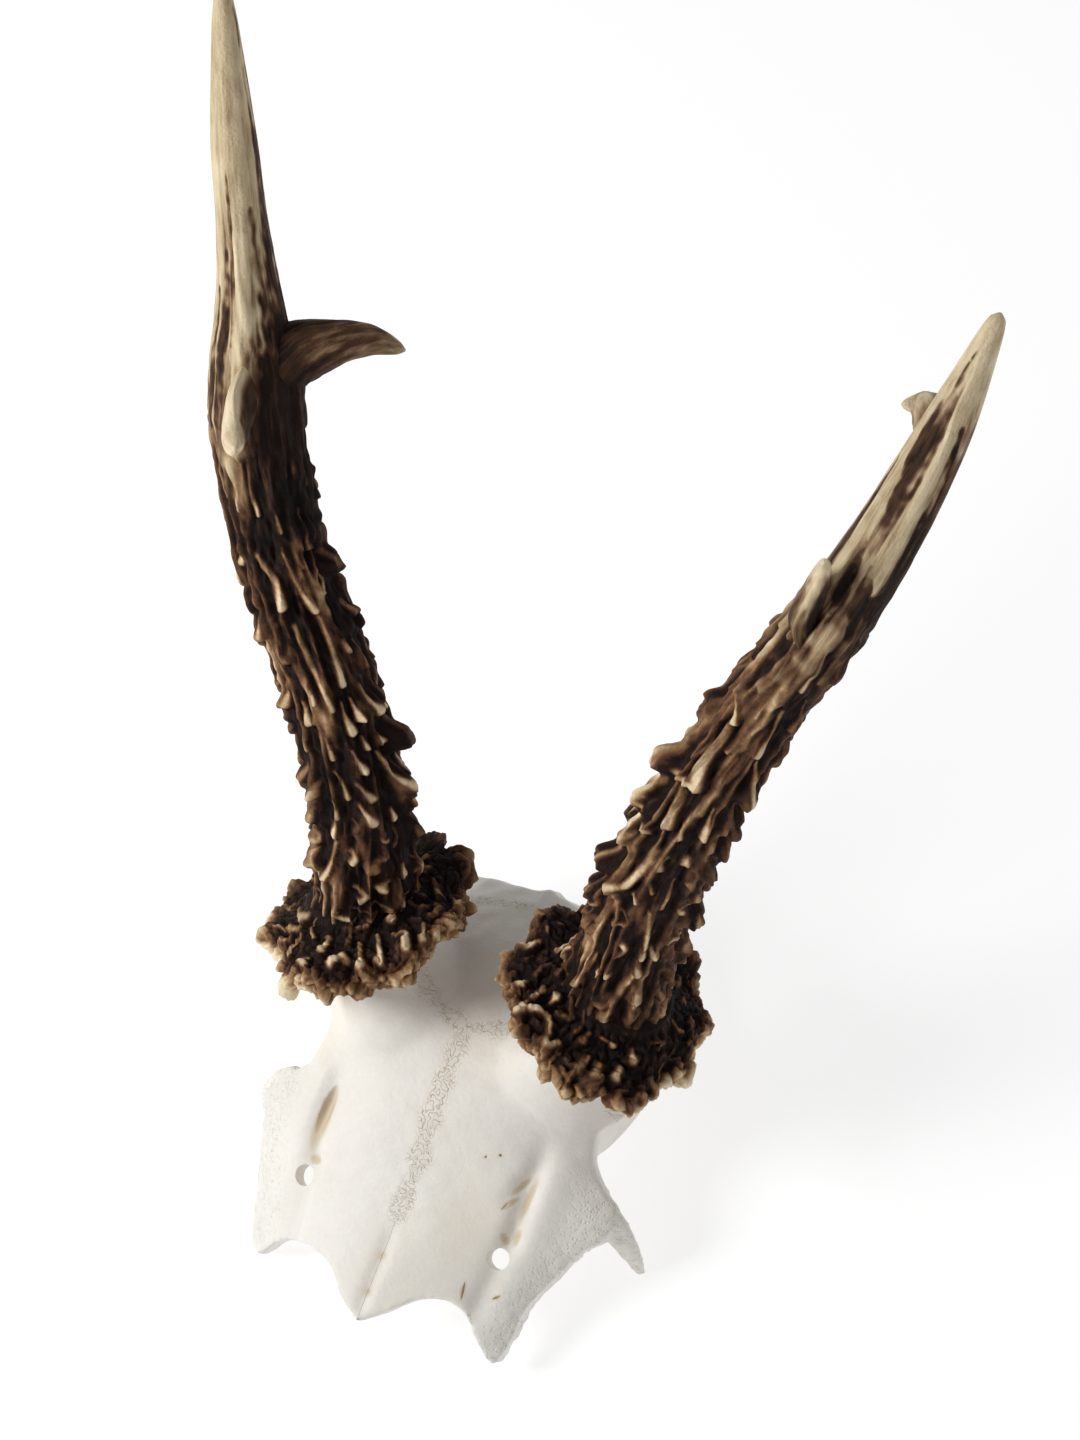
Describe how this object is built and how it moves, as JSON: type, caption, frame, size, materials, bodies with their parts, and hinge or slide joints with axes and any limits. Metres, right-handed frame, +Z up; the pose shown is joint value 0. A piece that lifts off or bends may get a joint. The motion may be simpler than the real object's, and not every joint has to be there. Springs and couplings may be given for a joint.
{
  "type": "roe deer skull cap with antlers",
  "caption": "Bleached roe buck skull cap, sawn flat underneath, carrying pearled, branched antlers that rise from rough burrs.",
  "frame": {"origin": "on the saw cut, on the midline of its back rim, at floor level", "axes": "+Z up off the floor, nose towards -Y, so +X is the animal's left; the median plane of the skull is X = 0"},
  "size_m": [0.1511, 0.1674, 0.2173],
  "materials": {
    "bone": "dry bleached bone, matte to faintly waxy",
    "burr": "rough dark brown antler with pale polished pearls",
    "beam": "grooved dark brown antler with pale ridges",
    "tine": "smooth ivory to tan antler, polished at the tips"
  },
  "bodies": {
    "root": {"parietal_bone": "bone", "occipital_bone": "bone", "frontal_bone_left": "bone", "temporal_bone_left": "bone", "burr_left": "burr", "lower_beam_left": "beam", "mid_beam_left": "beam", "front_tine_left": "tine", "rear_tine_left": "tine", "top_tine_left": "tine", "frontal_bone_right": "bone", "temporal_bone_right": "bone", "burr_right": "burr", "lower_beam_right": "beam", "mid_beam_right": "beam", "front_tine_right": "tine", "rear_tine_right": "tine", "top_tine_right": "tine"}
  },
  "joints": []
}
